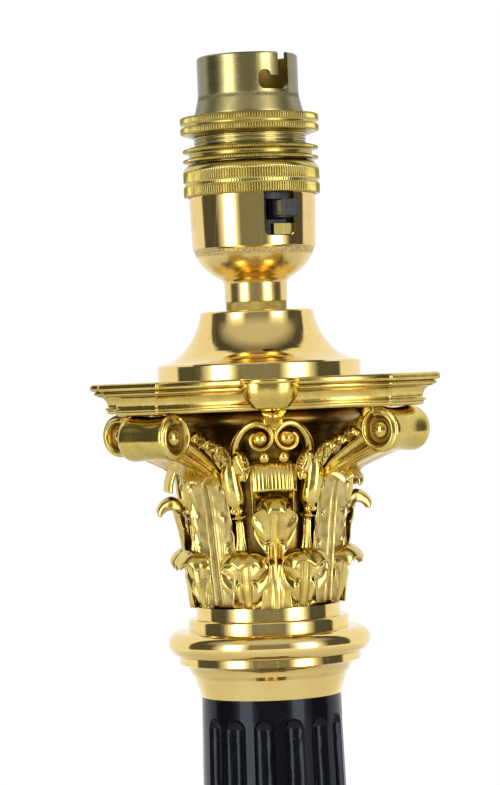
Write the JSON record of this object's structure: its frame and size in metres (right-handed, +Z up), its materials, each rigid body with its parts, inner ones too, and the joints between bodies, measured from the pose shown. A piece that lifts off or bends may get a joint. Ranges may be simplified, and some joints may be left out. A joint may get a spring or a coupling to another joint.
{
  "type": "table lamp",
  "caption": "Table lamp on a fluted column with a Corinthian capital, a stepped square base and a switched bayonet lampholder for a clip-on or carrier shade.",
  "frame": {"origin": "centre of the underside of the base", "axes": "+Z up along the column, -Y towards the front, sides of the square base along X and Y, cord inlet at the back (+Y)"},
  "size_m": [0.14, 0.14, 0.5181],
  "materials": {
    "gilt_brass": "bright gilt, polished on the high places",
    "polished_brass": "polished and lacquered",
    "holder_brass": "dull drawn brass, lightly tarnished",
    "base_brass": "polished and lacquered",
    "black_gloss": "deep gloss black enamel",
    "black_moulding": "moulded phenolic, satin",
    "steel": "zinc plated",
    "iron": "rough casting",
    "felt": "dark green felt"
  },
  "bodies": {
    "lamp": {"base_felt": "felt", "stepped_base": "base_brass", "base_weight": "iron", "base_washer": "steel", "base_nut": "steel", "cord_bush": "black_moulding", "column_base_ring": "base_brass", "column_shaft": "black_gloss", "threaded_rod": "steel", "capital_collar": "polished_brass", "capital_bell": "gilt_brass", "abacus": "gilt_brass", "clamp_washer": "steel", "clamp_nut": "steel", "vase_cap": "polished_brass", "lock_nut": "holder_brass", "holder_cup": "holder_brass", "grub_screw": "steel", "cap_ring": "holder_brass", "holder_core": "black_moulding", "terminals": "holder_brass", "terminal_screws": "holder_brass", "switch_plate": "holder_brass", "bayonet_barrel": "holder_brass", "plunger_spring_left": "steel", "plunger_spring_right": "steel"},
    "switch_bar": {"push_bar": "black_moulding"},
    "contact_left": {"plunger_left": "holder_brass"},
    "contact_right": {"plunger_right": "holder_brass"},
    "upper_ring": {"shade_ring_upper": "holder_brass"},
    "lower_ring": {"shade_ring_lower": "holder_brass"}
  },
  "joints": [
    {"name": "switch_bar_slide", "type": "slide", "parent": "lamp", "child": "switch_bar", "axis": [0.3535, -0.9354, 0], "range_m": [-0.0045, 0]},
    {"name": "contact_left_slide", "type": "slide", "parent": "lamp", "child": "contact_left", "axis": [0, 0, -1], "range_m": [0, 0.003], "stiffness_N_per_m": 800, "springref_m": -0.002, "deforming": ["plunger_spring_left"]},
    {"name": "contact_right_slide", "type": "slide", "parent": "lamp", "child": "contact_right", "axis": [0, 0, -1], "range_m": [0, 0.003], "stiffness_N_per_m": 800, "springref_m": -0.002, "deforming": ["plunger_spring_right"]},
    {"name": "upper_ring_turn", "type": "hinge", "parent": "lamp", "child": "upper_ring", "pos_m": [0, 0, 0.5013], "axis": [0, 0, 1], "continuous": true},
    {"name": "lower_ring_turn", "type": "hinge", "parent": "lamp", "child": "lower_ring", "pos_m": [0, 0, 0.49385], "axis": [0, 0, 1], "continuous": true}
  ]
}
